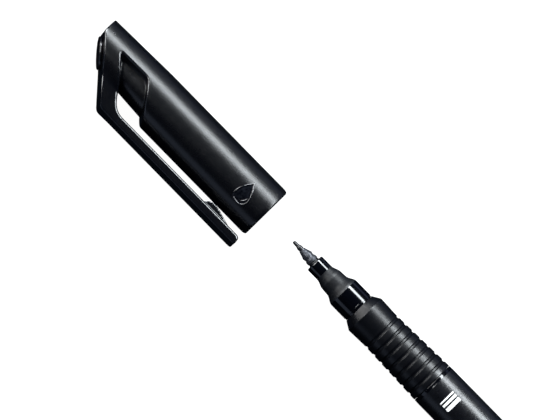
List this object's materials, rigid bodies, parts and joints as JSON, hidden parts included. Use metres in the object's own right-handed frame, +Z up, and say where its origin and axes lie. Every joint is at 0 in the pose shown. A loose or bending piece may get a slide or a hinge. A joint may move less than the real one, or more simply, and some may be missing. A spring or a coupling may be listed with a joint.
{
  "type": "fibre-tip technical pen",
  "caption": "Slim black fibre-tip drawing pen with a ringed grip, lying beside its pulled-off cap, whose slanted end carries a flexing pocket clip.",
  "frame": {"origin": "bottom centre of the whole object's box, on the table that cap, clip and pen lie on", "axes": "+X along the pen from nib to tail, +Z up; the cap lies at -X with its clip towards -Y, 12 degrees below level"},
  "size_m": [0.1876, 0.0161, 0.012],
  "materials": {
    "cap_plastic": "satin moulded",
    "clip_plastic": "satin moulded",
    "button_plastic": "semi-gloss moulded",
    "liner_plastic": "smooth moulded",
    "barrel_plastic": "satin moulded",
    "grip_plastic": "fine matt moulded",
    "holder_plastic": "polished collars, satin neck",
    "sleeve_metal": "satin crimped",
    "nib_fibre": "ink-soaked bonded fibre",
    "ink_felt": "ink-soaked fibre",
    "wrap_film": "clear film",
    "plug_plastic": "satin moulded"
  },
  "bodies": {
    "pen": {"barrel": "barrel_plastic", "grip_section": "grip_plastic", "nib_holder": "holder_plastic", "nib_sleeve": "sleeve_metal", "nib_core": "nib_fibre", "reservoir": "ink_felt", "reservoir_wrap": "wrap_film", "tail_plug": "plug_plastic"},
    "liner": {"inner_cap": "liner_plastic"},
    "cap": {"cap_shell": "cap_plastic", "end_button": "button_plastic"},
    "clip": {"pocket_clip": "clip_plastic"}
  },
  "joints": [
    {"name": "cap_slide", "type": "slide", "parent": "pen", "child": "liner", "axis": [1, 0, 0], "range_m": [0, 0.0473]},
    {"name": "cap_turn", "type": "hinge", "parent": "liner", "child": "cap", "pos_m": [-0.04501, 0.00205, 0.006], "axis": [1, 0, 0], "continuous": true},
    {"name": "clip_flex", "type": "hinge", "parent": "cap", "child": "clip", "pos_m": [-0.07731, -0.00642, 0.0042], "axis": [0, 0.2079, -0.9781], "range_deg": [0, 5], "stiffness_Nm_per_rad": 0.7}
  ]
}
